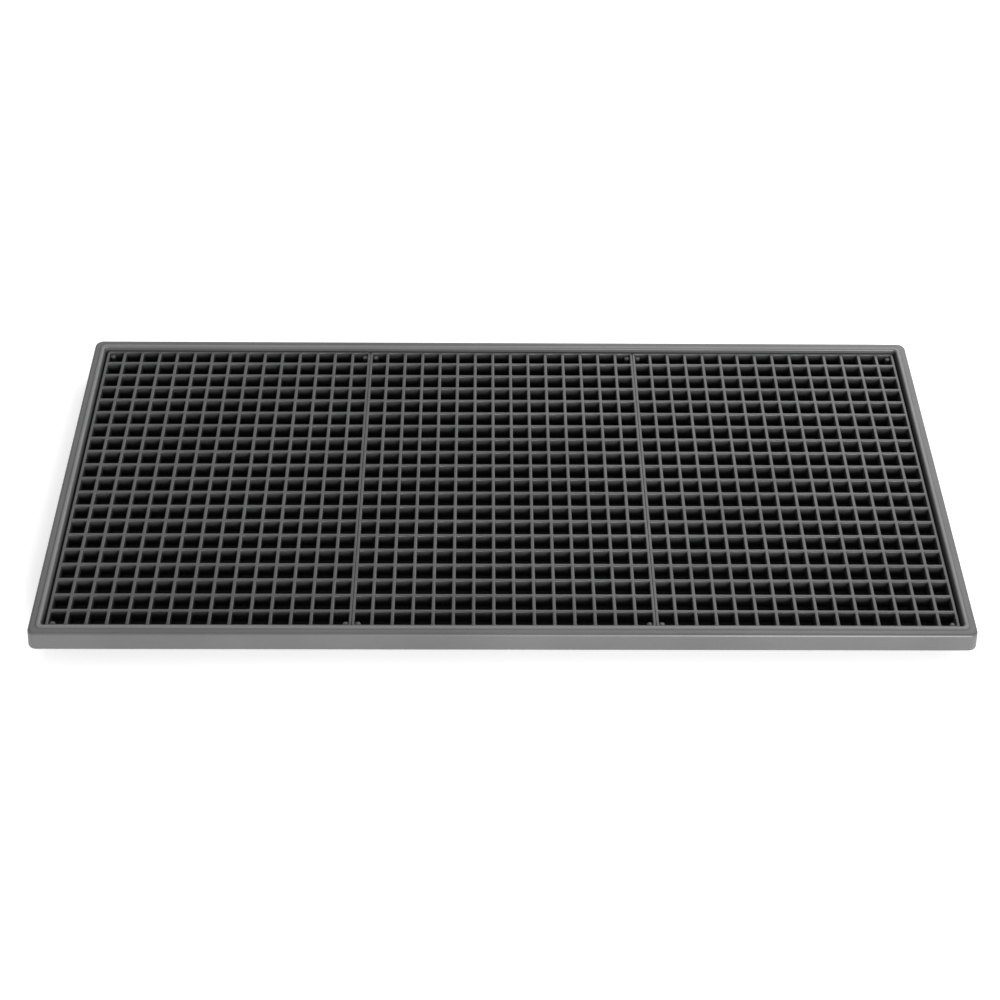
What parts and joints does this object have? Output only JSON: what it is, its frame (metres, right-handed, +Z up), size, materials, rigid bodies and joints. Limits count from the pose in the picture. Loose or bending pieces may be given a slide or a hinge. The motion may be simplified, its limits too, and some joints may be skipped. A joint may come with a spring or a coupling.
{
  "type": "seedling heat mat",
  "caption": "Low black rectangular propagation tray with a raised ridge on its rim, lift-out square-cell grid panels and a heated double bottom.",
  "frame": {"origin": "under the centre of the tray, on the surface that its feet stand on", "axes": "+X along the tray, +Y to the back where the cable gland is, +Z up"},
  "size_m": [0.5938, 0.2742, 0.0265],
  "materials": {
    "tray_plastic": "satin moulded polypropylene, black",
    "panel_plastic": "satin moulded polypropylene, black",
    "cover_plastic": "fine matte texture",
    "seal_rubber": "soft black rubber",
    "foot_rubber": "soft dark rubber",
    "screw_steel": "zinc plated",
    "foil": "bright rolled foil",
    "backing_sheet": "white polyester sheet",
    "insulation_foam": "closed-cell foam",
    "heater_jacket": "red silicone jacket",
    "cutout_ceramic": "pale moulded case",
    "clip_steel": "spring steel",
    "terminal_plastic": "natural nylon",
    "terminal_brass": "nickel-free brass",
    "lead_brown": "brown insulated lead",
    "lead_blue": "blue insulated lead",
    "gland_plastic": "black nylon"
  },
  "bodies": {
    "tray": {"tray_shell": "tray_plastic", "base_cover": "cover_plastic", "base_seal": "seal_rubber", "base_screws": "screw_steel", "foot_front_left": "foot_rubber", "foot_front_centre": "foot_rubber", "foot_front_right": "foot_rubber", "foot_rear_left": "foot_rubber", "foot_rear_centre": "foot_rubber", "foot_rear_right": "foot_rubber", "heat_spreader_foil": "foil", "heater_backing": "backing_sheet", "insulation_board": "insulation_foam", "heating_wire": "heater_jacket", "thermal_cutout": "cutout_ceramic", "cutout_clip": "clip_steel", "terminal_block": "terminal_plastic", "terminal_screws": "terminal_brass", "terminal_fixing_screw": "screw_steel", "lead_live": "lead_brown", "lead_neutral": "lead_blue", "lead_heater": "lead_brown", "cord_clamp": "terminal_plastic", "clamp_screws": "screw_steel", "gland_nut": "gland_plastic", "gland_seal": "seal_rubber", "cable_gland": "gland_plastic"},
    "panel_left": {"grid_panel_left": "panel_plastic"},
    "panel_centre": {"grid_panel_centre": "panel_plastic"},
    "panel_right": {"grid_panel_right": "panel_plastic"}
  },
  "joints": [
    {"name": "lift_left", "type": "slide", "parent": "tray", "child": "panel_left", "axis": [0, 0, 1], "range_m": [0, 0.04]},
    {"name": "lift_centre", "type": "slide", "parent": "tray", "child": "panel_centre", "axis": [0, 0, 1], "range_m": [0, 0.04]},
    {"name": "lift_right", "type": "slide", "parent": "tray", "child": "panel_right", "axis": [0, 0, 1], "range_m": [0, 0.04]}
  ]
}
